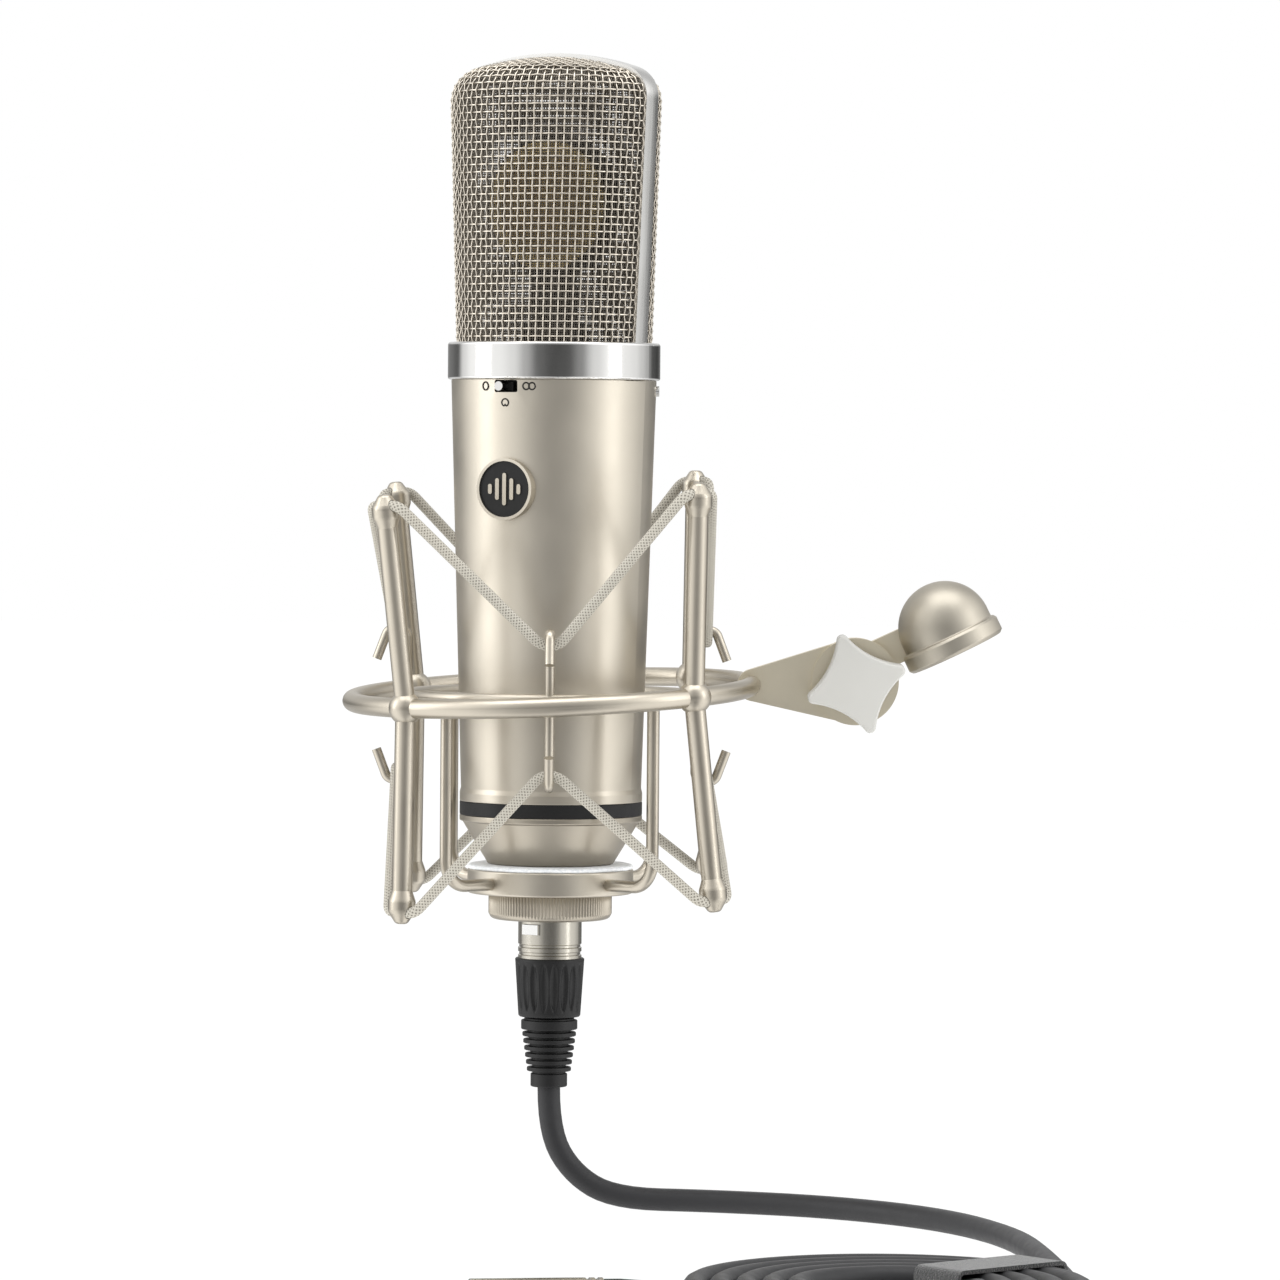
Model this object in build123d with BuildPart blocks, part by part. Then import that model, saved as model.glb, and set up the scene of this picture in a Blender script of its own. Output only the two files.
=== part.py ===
from build123d import *
import os
from math import cos, pi, radians, sin, tan

# A large-capsule side-address studio microphone in a spider shock mount, with its
# swivel for a microphone stand and its signal cable. Millimetres, +Z up. The origin
# is the centre of the mouth of the swivel's stand thread, -Y is the user's side.
os.makedirs("parts", exist_ok=True)

# ---------------------------------------------------------------- driving dimensions
MIC_X = -106.9          # microphone axis, left of the stand thread
MIC_TURN = -27.0        # the microphone's front is turned to the user's left
RUN_FIT = 0.05          # radial clearance of everything that turns or slides

HEAD_TOP = 157.0        # top of the grille
BAND_TOP = 80.9         # polished ring between grille and body
BAND_BOTTOM = 71.1
BAND_R = 28.0
BODY_TOP_R = 27.05      # the body narrows slightly towards its foot
BODY_FOOT_R = 23.8
BODY_FOOT = -37.6
LIP_R = 24.1
LIP_BOTTOM = -39.9
TRIM_BOTTOM = -43.5     # black grained trim band
RIM_BOTTOM = -45.0
BELL_BOTTOM = -56.5
BELL_FOOT_R = 16.5
WALL = 1.5              # body tube wall

HEAD_BASE_W, HEAD_BASE_D = 26.0, 26.1     # half width and half depth of the head at its base
HEAD_TOP_W, HEAD_TOP_D = 29.5, 24.3       # and at its top
CROWN_R = 72.0          # the head's top is gently domed
HEAD_EDGE = 8.5         # rounding of the head's top edge
BOW_W = 6.8             # width of the polished bow over the head
MESH_T = 1.1            # space taken by the woven outer mesh
LINER_T = 0.6           # and by the fine mesh inside it

CAPSULE_Z = 117.0
CAPSULE_R = 17.0

SPIGOT_R = 13.0         # threaded spigot that holds the microphone in its cradle
SOCKET_R = 9.0          # output connector's bore
NUT_TOP, NUT_BOTTOM, NUT_R = -64.2, -71.1, 16.3
FELT_TOP, FELT_R = -56.5, 21.9
FLANGE_TOP, FLANGE_R = -57.8, 21.9

RING_Z = -11.3          # centre of the outer ring
RING_R, RING_TUBE = 52.7, 2.55
RING_ROLL, RING_PITCH = 2.6, 2.1          # how the cage hangs relative to the microphone
POST_TUBE, POST_BALL_R = 2.65, 4.4        # posts, and the ball where each one crosses the ring
POST_RING_R, POST_TIP_R, POST_TIP_Z = 52.8, 56.6, 47.0
SADDLE_W, SADDLE_H = 3.6, 4.3             # half width and half height of an elastic's saddle
ELASTIC = 1.4           # radius of the elastic cord

CRADLE_R, CRADLE_Z, CRADLE_ROD = 38.0, -12.0, 1.6
HOOK_ROD = 1.25
FOOT_ROD_Z = -61.2

KNUCKLE_X, KNUCKLE_R = 80.1, 11.5         # from the microphone axis, in the cage's plane
PLATE_T = 3.0
DOME_TILT = 26.0
DOME_R, DOME_FLANGE_R, DOME_H, DOME_FLANGE_H = 12.3, 13.5, 19.7, 5.0
STAND_THREAD_R, STAND_THREAD_L = 7.94, 12.0

PLUG_R, PLUG_BOTTOM, BOOT_BOTTOM = 8.4, -81.4, -97.4
SHELL_WALL = 1.0
RELIEF_BOTTOM = -115.5
CORD_R = 3.0
CORD_LENGTH = 2440.0
FLOOR_Z = -148.0        # the surface that the cable lies on
TIE_T = 1.0             # thickness of the cable tie's strap
COIL_X, COIL_Y = -26.0, -243.0
COIL_RADII = (21, 27, 33, 39, 45)
COIL_LAYERS = 2
FAR_R = 9.5             # radius of the plug at the far end


def turned_frame(frame, turn):
    """The same frame turned about its own axis."""
    outward = frame.x_dir * cos(radians(turn)) + frame.y_dir * sin(radians(turn))
    return Plane(origin=frame.origin, x_dir=outward, z_dir=frame.z_dir)


def upright(frame, turn=0.0):
    """A plane through a frame's axis: x runs outward at the turn given, y runs up the axis."""
    spun = turned_frame(frame, turn)
    return Plane(origin=frame.origin, x_dir=spun.x_dir, z_dir=-spun.y_dir)


def place(frame, x, y, z):
    """A point of a frame in the row's own coordinates."""
    return frame.from_local_coords(Vector(x, y, z))


def polar(frame, radius, turn, z):
    """A point of a frame given by its radius, azimuth and height."""
    return place(frame, radius * cos(radians(turn)), radius * sin(radians(turn)), z)


def save(piece, label):
    """Name a finished piece and write it."""
    piece.part.label = label
    export_step(piece.part, f"parts/{label}.step")


def lathe(frame, corners):
    """A solid of revolution; corners are (radius, height, corner rounding)."""
    with BuildPart() as piece:
        with BuildSketch(upright(frame)):
            with BuildLine():
                FilletPolyline(
                    [(r, z) for r, z, _ in corners],
                    radius=[rounding for _, _, rounding in corners],
                    close=True,
                )
            make_face()
        revolve(axis=Axis(frame.origin, frame.z_dir))
    return piece


def rod(points, radii, tube):
    """A round rod bent along straight runs and arcs."""
    with BuildPart() as piece:
        with BuildLine() as path:
            if len(points) > 2:
                FilletPolyline(points, radius=radii)
            else:
                Line(points[0], points[1])
        with BuildSketch(Plane(path.line @ 0, z_dir=path.line % 0)):
            Circle(tube)
        sweep()
    return piece


def turns(count, start=0.0):
    """Evenly spaced azimuths."""
    return [start + 360.0 / count * k for k in range(count)]


MIC = Plane(
    origin=(MIC_X, 0, 0),
    x_dir=(cos(radians(MIC_TURN)), sin(radians(MIC_TURN)), 0),
    z_dir=(0, 0, 1),
)
CRADLE = Plane(origin=(MIC_X, 0, 0))
ROLL, PITCH = radians(RING_ROLL), radians(RING_PITCH)
CAGE = Plane(
    origin=(MIC_X, 0, RING_Z),
    x_dir=(cos(ROLL), 0, sin(ROLL)),
    z_dir=(-sin(ROLL) * cos(PITCH), -cos(ROLL) * sin(PITCH), cos(ROLL) * cos(PITCH)),
)
FRONT, REAR = -90.0, 90.0                 # azimuths in the microphone's own frame
TILT = radians(DOME_TILT)
DOME = Plane(origin=(0, 0, 0), x_dir=(cos(TILT), 0, sin(TILT)), z_dir=(-sin(TILT), 0, cos(TILT)))

# ---------------------------------------------------------------- body of the microphone


def body_radius(z):
    """Outer radius of the tapered body at a height."""
    share = (z - BODY_FOOT) / (BAND_BOTTOM - BODY_FOOT)
    return BODY_FOOT_R + (BODY_TOP_R - BODY_FOOT_R) * share


SWITCH_Z, SWITCH_W, SWITCH_H = 69.2, 6.7, 3.2      # pattern switch window under the ring
REAR_SWITCH_Z, REAR_SWITCH_W, REAR_SWITCH_H = 62.0, 5.4, 2.8
REAR_SWITCHES = {"pad": 14.0, "lowcut": -14.0}     # degrees either side of the rear centre
SCREW_TURNS, SCREW_Z = (25.0, 155.0), 68.3
SCREW_R = 1.4
BADGE_Z, BADGE_R, BADGE_FACE_R = 42.4, 8.05, 7.3


def facing(turn, z, radius):
    """A plane on the body that looks outward at an azimuth: x to the viewer's right, y up."""
    spun = turned_frame(MIC, turn)
    return Plane(origin=polar(MIC, radius, turn, z), x_dir=spun.y_dir, z_dir=spun.x_dir)


body_tube = lathe(MIC, [
    (body_radius(BODY_FOOT), BODY_FOOT + 1.2, 0.8),
    (LIP_R, BODY_FOOT, 0.4),
    (LIP_R, LIP_BOTTOM, 0.3),
    (BODY_FOOT_R - WALL, LIP_BOTTOM, 0),
    (BODY_TOP_R - WALL, BAND_BOTTOM, 0),
    (BODY_TOP_R, BAND_BOTTOM, 0.3),
])
with BuildPart() as body_cuts:
    with BuildSketch(facing(FRONT, SWITCH_Z, BODY_TOP_R - 4)):
        RectangleRounded(SWITCH_W, SWITCH_H, 0.5)
    extrude(amount=8)
    for offset_turn in REAR_SWITCHES.values():
        with BuildSketch(facing(REAR + offset_turn, REAR_SWITCH_Z, BODY_TOP_R - 4)):
            RectangleRounded(REAR_SWITCH_W, REAR_SWITCH_H, 0.5)
        extrude(amount=8)
    for turn in SCREW_TURNS:
        with BuildSketch(facing(turn, SCREW_Z, BODY_TOP_R - 5)):
            Circle(SCREW_R + 0.1)
        extrude(amount=10)
with BuildPart() as tube_shell:
    add(body_tube.part)
    add(body_cuts.part, mode=Mode.SUBTRACT)
save(tube_shell, "body_tube")

SLEEVE_R, SLEEVE_TOP = 21.0, -35.5        # the bell's sleeve, inside the trim and the body's foot
INSERT_TOP, INSERT_BOTTOM = -54.0, -57.0  # output connector's insert
base_trim = lathe(MIC, [
    (LIP_R, LIP_BOTTOM, 0.3), (LIP_R, TRIM_BOTTOM, 0.3),
    (SLEEVE_R, TRIM_BOTTOM, 0), (SLEEVE_R, LIP_BOTTOM, 0),
])
save(base_trim, "base_trim")

base_bell = lathe(MIC, [
    (LIP_R, TRIM_BOTTOM, 0.3), (LIP_R, RIM_BOTTOM, 0.4), (23.3, RIM_BOTTOM - 0.3, 0.3),
    (BELL_FOOT_R, BELL_BOTTOM, 1.0), (SPIGOT_R, BELL_BOTTOM, 0), (SPIGOT_R, NUT_BOTTOM + 0.8, 0.5),
    (SOCKET_R, NUT_BOTTOM + 0.8, 0.3), (SOCKET_R, INSERT_TOP, 0), (BELL_FOOT_R - 3, BELL_BOTTOM + 3, 0),
    (SLEEVE_R - 1.4, RIM_BOTTOM + 1.0, 0), (SLEEVE_R - 1.4, SLEEVE_TOP, 0), (SLEEVE_R, SLEEVE_TOP, 0),
    (SLEEVE_R, TRIM_BOTTOM, 0),
])
save(base_bell, "base_bell")

# ---------------------------------------------------------------- head: bow, meshes, capsule


def head_form(inset):
    """The head's outer form, shrunk all round by the inset."""
    with BuildPart() as form:
        with BuildSketch(Plane(MIC.origin + Vector(0, 0, BAND_TOP), x_dir=MIC.x_dir, z_dir=(0, 0, 1))):
            Ellipse(HEAD_BASE_W - inset, HEAD_BASE_D - inset)
        with BuildSketch(Plane(MIC.origin + Vector(0, 0, HEAD_TOP + 4), x_dir=MIC.x_dir, z_dir=(0, 0, 1))):
            Ellipse(HEAD_TOP_W - inset, HEAD_TOP_D - inset)
        loft()
        with Locations(MIC.origin + Vector(0, 0, HEAD_TOP - CROWN_R)):
            Sphere(CROWN_R - inset, mode=Mode.INTERSECT)
        top = form.edges().filter_by(lambda e: e.center().Z > BAND_TOP + 30).filter_by(
            lambda e: e.geom_type != GeomType.LINE)
        fillet(top, radius=HEAD_EDGE - inset)
    return form.part


OUTER, MID, INNER = head_form(0.0), head_form(MESH_T), head_form(MESH_T + LINER_T)
with BuildPart() as middle_slab:
    with BuildSketch(upright(MIC)):
        with Locations((0, 120)):
            Rectangle(80, 100)
    extrude(amount=BOW_W / 2, both=True)
with BuildPart() as head_bow:
    add(OUTER)
    add(middle_slab.part, mode=Mode.INTERSECT)
    add(head_form(1.9), mode=Mode.SUBTRACT)
save(head_bow, "head_bow")

for side, label in ((-1, "front"), (1, "rear")):
    with BuildPart() as half_space:
        with BuildSketch(MIC.offset(120)):
            with Locations((0, side * (BOW_W / 2 + 0.02 + 20))):
                Rectangle(80, 40)
        extrude(amount=50, both=True)
    with BuildPart() as grille:
        add(OUTER)
        add(MID, mode=Mode.SUBTRACT)
        add(half_space.part, mode=Mode.INTERSECT)
    save(grille, f"grille_{label}")
with BuildPart() as mesh_liner:
    add(MID)
    add(INNER, mode=Mode.SUBTRACT)
    add(middle_slab.part, mode=Mode.SUBTRACT)
save(mesh_liner, "mesh_liner")

with BuildPart() as head_deck:
    with Locations(place(MIC, 0, 0, BAND_TOP - 3.0)):
        Cylinder(22.5, 3.0, align=(Align.CENTER, Align.CENTER, Align.MIN))
save(head_deck, "head_deck")

with BuildPart() as capsule_post:
    with BuildSketch(MIC.offset(BAND_TOP)):
        RectangleRounded(15, 12, 2)
    extrude(amount=5)
    with BuildSketch(MIC.offset(BAND_TOP + 5)):
        RectangleRounded(11, 6.4, 1.2)
    extrude(amount=CAPSULE_Z - CAPSULE_R - 0.6 - BAND_TOP - 5)

CAPSULE = Plane(origin=place(MIC, 0, 0, CAPSULE_Z), x_dir=MIC.x_dir, z_dir=-MIC.y_dir)
capsule_saddle = lathe(CAPSULE, [
    (CAPSULE_R + 1.6, -3.0, 0.4), (CAPSULE_R + 1.6, 3.0, 0.4), (CAPSULE_R, 3.0, 0), (CAPSULE_R, -3.0, 0),
])
with BuildPart() as capsule_mount:
    add(capsule_post.part)
    add(capsule_saddle.part)
    with BuildSketch(CAPSULE):
        Circle(CAPSULE_R)
    extrude(amount=10, both=True, mode=Mode.SUBTRACT)
save(capsule_mount, "capsule_mount")


def capsule_side(face, height):
    """A plane over one side of the capsule, looking away from its middle."""
    spot = CAPSULE.origin + CAPSULE.z_dir * height * face
    return Plane(spot, x_dir=CAPSULE.x_dir, z_dir=CAPSULE.z_dir * face)


capsule_core = lathe(CAPSULE, [(0, -4.2, 0), (CAPSULE_R, -4.2, 0.3), (CAPSULE_R, 4.2, 0.3), (0, 4.2, 0)])
save(capsule_core, "capsule_backplate")

with BuildPart() as capsule_rings:
    for face in (1, -1):
        spot = capsule_side(face, 4.2)
        with BuildSketch(spot):
            Circle(CAPSULE_R)
            Circle(CAPSULE_R - 3.4, mode=Mode.SUBTRACT)
        extrude(amount=1.0)
save(capsule_rings, "capsule_clamp_rings")

with BuildPart() as capsule_foils:
    for face in (1, -1):
        spot = capsule_side(face, 4.2)
        with BuildSketch(spot):
            Circle(CAPSULE_R - 3.4)
        extrude(amount=0.4)
save(capsule_foils, "capsule_diaphragms")

with BuildPart() as capsule_screws:
    for face in (1, -1):
        spot = capsule_side(face, 5.2)
        with BuildSketch(spot):
            with PolarLocations(CAPSULE_R - 1.7, 8):
                Circle(0.9)
        extrude(amount=0.6)
save(capsule_screws, "capsule_screws")

# ---------------------------------------------------------------- inside the body

RAIL_X, RAIL_W, RAIL_T = 17.0, 5.0, 2.0
RAIL_TOP, RAIL_BOTTOM = BAND_TOP - 3.0, -37.0
with BuildPart() as chassis_rails:
    with BuildSketch(MIC.offset(RAIL_BOTTOM)):
        with Locations((RAIL_X, 0), (-RAIL_X, 0)):
            Rectangle(RAIL_T, RAIL_W)
    extrude(amount=RAIL_TOP - RAIL_BOTTOM)
save(chassis_rails, "chassis_rails")

with BuildPart() as chassis_floor:
    with BuildSketch(MIC.offset(RAIL_BOTTOM)):
        Circle(19.5)
        Circle(5.0, mode=Mode.SUBTRACT)
    extrude(amount=-2.5)
save(chassis_floor, "chassis_floor")

BOARD_BOTTOM, BOARD_TOP = -5.0, 60.0
with BuildPart() as circuit_board:
    with BuildSketch(MIC.offset(BOARD_BOTTOM)):
        Rectangle(2 * RAIL_X - RAIL_T, 1.6)
    extrude(amount=BOARD_TOP - BOARD_BOTTOM)
save(circuit_board, "circuit_board")

CAPACITORS = ((-8, 10, 4.0, 9.0), (4, 12, 5.0, 11.0), (-7, 28, 3.0, 7.0), (7, 34, 3.0, 7.0))
with BuildPart() as board_parts:
    for across, up, radius, depth in CAPACITORS:
        with BuildSketch(Plane(place(MIC, across, -0.8, up), x_dir=MIC.x_dir, z_dir=-MIC.y_dir)):
            Circle(radius)
        extrude(amount=depth)
    with BuildSketch(Plane(place(MIC, 0, -0.8, 47), x_dir=MIC.x_dir, z_dir=-MIC.y_dir)):
        Rectangle(14, 7)
    extrude(amount=6)
save(board_parts, "board_components")

with BuildPart() as transformer:
    with BuildSketch(MIC.offset(RAIL_BOTTOM)):
        RectangleRounded(22, 24, 2)
    extrude(amount=26)
save(transformer, "output_transformer")

# ---------------------------------------------------------------- switches, badge, screws


def slider_stack(turn, z, lever_r, plate_w, offset_x):
    """A switch's slider: a plate behind the window and a round lever through it."""
    surface = body_radius(z)
    inside = facing(turn, z, surface - WALL - 2.4)
    with BuildPart() as slider:
        with BuildSketch(inside):
            with Locations((offset_x, 0)):
                Rectangle(plate_w, 2.2)
        extrude(amount=1.2)
        with BuildSketch(inside):
            with Locations((offset_x, 0)):
                Circle(lever_r)
        extrude(amount=WALL + 2.4 + 1.2)
    return slider


PATTERN_TRAVEL, TWO_WAY_TRAVEL = 3.0, 2.2
pattern_slider = slider_stack(FRONT, SWITCH_Z, 1.2, 4.6, -PATTERN_TRAVEL / 2)
save(pattern_slider, "pattern_switch_slider")
for name, offset_turn in REAR_SWITCHES.items():
    slider = slider_stack(REAR + offset_turn, REAR_SWITCH_Z, 0.95, 3.6, -TWO_WAY_TRAVEL / 2)
    save(slider, f"{name}_switch_slider")


def switch_body(turn, z, width, height):
    """The fixed box of a slide switch, open towards its window."""
    surface = body_radius(z)
    back = facing(turn, z, surface - WALL - 6.0)
    with BuildPart() as box:
        with BuildSketch(back):
            Rectangle(width, height)
        extrude(amount=4.6)
        with BuildSketch(back.offset(3.4)):
            Rectangle(width - 1.2, 2.6)
        extrude(amount=2.0, mode=Mode.SUBTRACT)
    return box


with BuildPart() as switch_bodies:
    add(switch_body(FRONT, SWITCH_Z, 10.0, 4.8).part)
    for offset_turn in REAR_SWITCHES.values():
        add(switch_body(REAR + offset_turn, REAR_SWITCH_Z, 8.4, 4.8).part)
save(switch_bodies, "switch_bodies")

badge_seat = body_radius(BADGE_Z)
BADGE = facing(FRONT, BADGE_Z, badge_seat)
with BuildPart() as badge_rim:
    with BuildSketch(BADGE.offset(-2.0)):
        Circle(BADGE_R)
        Circle(BADGE_FACE_R, mode=Mode.SUBTRACT)
    extrude(amount=3.4)
    with Locations(Plane(place(MIC, 0, 0, BADGE_Z))):
        Cone(body_radius(BADGE_Z - 15) + 0.02, body_radius(BADGE_Z + 15) + 0.02, 30, mode=Mode.SUBTRACT)
save(badge_rim, "badge_rim")
with BuildPart() as badge_face:
    with BuildSketch(BADGE.offset(-2.0)):
        Circle(BADGE_FACE_R)
    extrude(amount=2.9)
    with Locations(Plane(place(MIC, 0, 0, BADGE_Z))):
        Cone(body_radius(BADGE_Z - 15) + 0.02, body_radius(BADGE_Z + 15) + 0.02, 30, mode=Mode.SUBTRACT)
save(badge_face, "badge_face")
EMBLEM_BARS = ((-4.2, 2.6), (-2.1, 5.6), (0.0, 8.4), (2.1, 5.6), (4.2, 2.6))
with BuildPart() as badge_emblem:
    with BuildSketch(BADGE.offset(0.9)):
        for across, tall in EMBLEM_BARS:
            with Locations((across, 0)):
                RectangleRounded(1.1, tall, 0.5)
    extrude(amount=0.35)
save(badge_emblem, "badge_emblem")

with BuildPart() as ring_screws:
    for turn in SCREW_TURNS:
        with BuildSketch(facing(turn, SCREW_Z, BODY_TOP_R - WALL - 2.6)):
            Circle(SCREW_R)
        extrude(amount=WALL + 2.6 + 0.7)
save(ring_screws, "ring_screws")

SKIRT_BOTTOM = BAND_BOTTOM - 5.0          # the ring's skirt inside the body, which takes the screws
ring_blank = lathe(MIC, [
    (BAND_R, BAND_TOP, 0.8), (BAND_R, BAND_BOTTOM, 0.6), (BODY_TOP_R - WALL - 0.2, BAND_BOTTOM, 0),
    (BODY_TOP_R - WALL - 0.4, SKIRT_BOTTOM, 0), (22.6, SKIRT_BOTTOM, 0), (22.6, BAND_TOP, 0),
])
with BuildPart() as head_ring:
    add(ring_blank.part)
    add(ring_screws.part, mode=Mode.SUBTRACT)
    with BuildSketch(facing(FRONT, SWITCH_Z, BODY_TOP_R - 9)):
        Rectangle(10.6, 5.4)
    extrude(amount=8.4, mode=Mode.SUBTRACT)
save(head_ring, "head_ring")

connector_insert = lathe(MIC, [
    (0, INSERT_BOTTOM, 0), (SOCKET_R, INSERT_BOTTOM, 0), (SOCKET_R, INSERT_TOP, 0), (0, INSERT_TOP, 0),
])
save(connector_insert, "output_insert")
PIN_R, PIN_CIRCLE, PIN_START, PIN_LENGTH = 1.15, 4.0, -30.0, 9.0
with BuildPart() as output_pins:
    with BuildSketch(MIC.offset(INSERT_BOTTOM)):
        with PolarLocations(PIN_CIRCLE, 3, start_angle=PIN_START):
            Circle(PIN_R)
    extrude(amount=-PIN_LENGTH)
save(output_pins, "output_pins")

# ---------------------------------------------------------------- cradle

felt = lathe(MIC, [
    (FELT_R, FELT_TOP, 0.5), (FELT_R, FLANGE_TOP, 0.2), (13.3, FLANGE_TOP, 0), (13.3, FELT_TOP, 0),
])
save(felt, "felt_washer")

flange = lathe(CRADLE, [
    (FLANGE_R, FLANGE_TOP, 0.5), (FLANGE_R, NUT_TOP, 0.6), (13.1, NUT_TOP, 0), (13.1, FLANGE_TOP, 0),
])
save(flange, "cradle_flange")

with BuildPart() as cradle_ring:
    with Locations(place(CRADLE, 0, 0, CRADLE_Z)):
        Torus(CRADLE_R, CRADLE_ROD)
save(cradle_ring, "cradle_ring")

UPRIGHT_TURNS = turns(4, 45)
HOOK_TURNS = turns(4, 0)
with BuildPart() as cradle_legs:
    for turn in UPRIGHT_TURNS:
        add(rod(
            [polar(CRADLE, CRADLE_R, turn, CRADLE_Z), polar(CRADLE, CRADLE_R, turn, FOOT_ROD_Z),
             polar(CRADLE, FLANGE_R - 1.0, turn, FOOT_ROD_Z)],
            [7.0], CRADLE_ROD).part)
    add(cradle_ring.part, mode=Mode.SUBTRACT)
    add(flange.part, mode=Mode.SUBTRACT)
save(cradle_legs, "cradle_legs")

HOOK_TOP, HOOK_FREE_R, HOOK_FREE_Z = 5.3, 46.2, -2.7
HOOK_MIDDLE = -14.6     # the lower hooks mirror the upper ones about this height


def hook_height(z, up):
    """The height of a hook's corner; the lower hooks mirror the upper ones."""
    return z if up > 0 else 2 * HOOK_MIDDLE - z


with BuildPart() as elastic_hooks:
    for turn in HOOK_TURNS:
        for up in (1, -1):
            add(rod(
                [polar(CRADLE, CRADLE_R, turn, CRADLE_Z),
                 polar(CRADLE, CRADLE_R, turn, hook_height(HOOK_TOP, up)),
                 polar(CRADLE, HOOK_FREE_R - 3.0, turn, hook_height(HOOK_TOP, up)),
                 polar(CRADLE, HOOK_FREE_R, turn, hook_height(HOOK_FREE_Z, up))],
                [2.5, 2.3], HOOK_ROD).part)
    add(cradle_ring.part, mode=Mode.SUBTRACT)
save(elastic_hooks, "elastic_hooks")

nut_blank = lathe(MIC, [
    (NUT_R, NUT_TOP - 0.1, 0.5), (NUT_R, NUT_BOTTOM, 1.4), (SPIGOT_R + RUN_FIT, NUT_BOTTOM, 0),
    (SPIGOT_R + RUN_FIT, NUT_TOP - 0.1, 0),
])
save(nut_blank, "retaining_nut")

# ---------------------------------------------------------------- cage

with BuildPart() as ring:
    with Locations(CAGE.location):
        Torus(RING_R, RING_TUBE)
POST_TURNS = turns(4, 45)


def saddle_frame(turn, up):
    """Frame of a saddle: origin at the end of the post, z along the post's outward lean."""
    spun = turned_frame(CAGE, turn)
    slope = Vector(POST_TIP_R - POST_RING_R, 0, up * POST_TIP_Z).normalized()
    along = spun.x_dir * slope.X + spun.z_dir * slope.Z
    return Plane(origin=polar(CAGE, POST_TIP_R, turn, up * POST_TIP_Z), x_dir=spun.y_dir, z_dir=along)


def seat(frame):
    """Centre of the elastic where it runs through a saddle."""
    return frame.origin + frame.z_dir * 5.6


with BuildPart() as cage_posts:
    for turn in POST_TURNS:
        middle = polar(CAGE, POST_RING_R, turn, 0)
        with Locations(middle):
            Sphere(POST_BALL_R)
        for up in (1, -1):
            add(rod([middle, polar(CAGE, POST_TIP_R, turn, up * POST_TIP_Z)], [], POST_TUBE).part)
    add(ring.part, mode=Mode.SUBTRACT)
save(cage_posts, "cage_posts")

save(ring, "cage_ring")



def saddle(frame):
    """The egg-shaped end of a post, with the hole that its elastic runs through."""
    egg = lathe(frame, [
        (0, 0, 0), (POST_TUBE, 0, 0), (SADDLE_W, 2.6, 1.8), (SADDLE_W, 5.4, 2.2), (1.5, 2 * SADDLE_H, 1.3),
        (0, 2 * SADDLE_H, 0),
    ])
    with BuildPart() as piece:
        add(egg.part)
        with BuildSketch(Plane(seat(frame), x_dir=frame.y_dir, z_dir=frame.x_dir)):
            Circle(ELASTIC + 0.15)
        extrude(amount=6, both=True, mode=Mode.SUBTRACT)
    return piece


with BuildPart() as elastic_saddles:
    for turn in POST_TURNS:
        for up in (1, -1):
            add(saddle(saddle_frame(turn, up)).part)
save(elastic_saddles, "elastic_saddles")

# ---------------------------------------------------------------- elastic loops

SADDLE_REACH, HOOK_REACH = 5.0, 2.3       # level stretch of the elastic either side of its supports
ELASTIC_BEND = 2.4
HOOK_SEAT_R, HOOK_SEAT_DROP = 40.9, 3.05  # where the elastic sits inside a hook's bend


def elastic_points(up):
    """The loop's corners: level over each saddle and under each hook, in order of azimuth."""
    corners = []
    for post_turn in POST_TURNS:
        frame = saddle_frame(post_turn, up)
        middle = seat(frame)
        corners += [middle - frame.x_dir * SADDLE_REACH, middle + frame.x_dir * SADDLE_REACH]
        hook_turn = post_turn + 45
        bend = HOOK_TOP - HOOK_SEAT_DROP
        height = bend if up > 0 else 2 * HOOK_MIDDLE - bend
        middle = polar(CRADLE, HOOK_SEAT_R, hook_turn, height)
        tangent = turned_frame(CRADLE, hook_turn).y_dir
        corners += [middle - tangent * HOOK_REACH, middle + tangent * HOOK_REACH]
    return corners


for label, up in (("upper", 1), ("lower", -1)):
    corners = elastic_points(up)
    half = len(corners) // 2
    joins = [(corners[-1] + corners[0]) * 0.5, (corners[half - 1] + corners[half]) * 0.5]
    with BuildPart() as elastic:
        add(rod([joins[0], *corners[:half], joins[1]], ELASTIC_BEND, ELASTIC).part)
        add(rod([joins[1], *corners[half:], joins[0]], ELASTIC_BEND, ELASTIC).part)
    save(elastic, f"{label}_elastic")

# ---------------------------------------------------------------- arm, knuckle and swivel

ARM_END_R, ARM_BOSS_T = 4.2, 1.2
SCREW_SHANK_R = 3.0
WASHER_T = 0.8
GAP = 0.06              # between faces that turn on each other
KNUCKLE = Plane(origin=place(CAGE, KNUCKLE_X, 0, 0), x_dir=CAGE.x_dir, z_dir=-CAGE.y_dir)
# In the knuckle's frame z points towards the user, x away from the microphone and y up.

with BuildPart() as arm_plate:
    with BuildSketch(KNUCKLE.offset(-PLATE_T / 2)):
        with Locations((RING_R + 0.5 - KNUCKLE_X, 0)):
            Circle(ARM_END_R)
        Circle(KNUCKLE_R - 0.3)
        make_hull()
    extrude(amount=PLATE_T)
    with BuildSketch(KNUCKLE.offset(PLATE_T / 2)):
        Circle(KNUCKLE_R)
    extrude(amount=ARM_BOSS_T)
    with BuildSketch(KNUCKLE.offset(-PLATE_T)):
        Circle(SCREW_SHANK_R + RUN_FIT)
    extrude(amount=3 * PLATE_T, mode=Mode.SUBTRACT)
    add(ring.part, mode=Mode.SUBTRACT)
save(arm_plate, "arm_plate")


def disc(bottom, top, radius, hole):
    """A flat disc on the knuckle's axis."""
    with BuildPart() as piece:
        with BuildSketch(KNUCKLE.offset(bottom)):
            Circle(radius)
            Circle(hole, mode=Mode.SUBTRACT)
        extrude(amount=top - bottom)
    return piece


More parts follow.
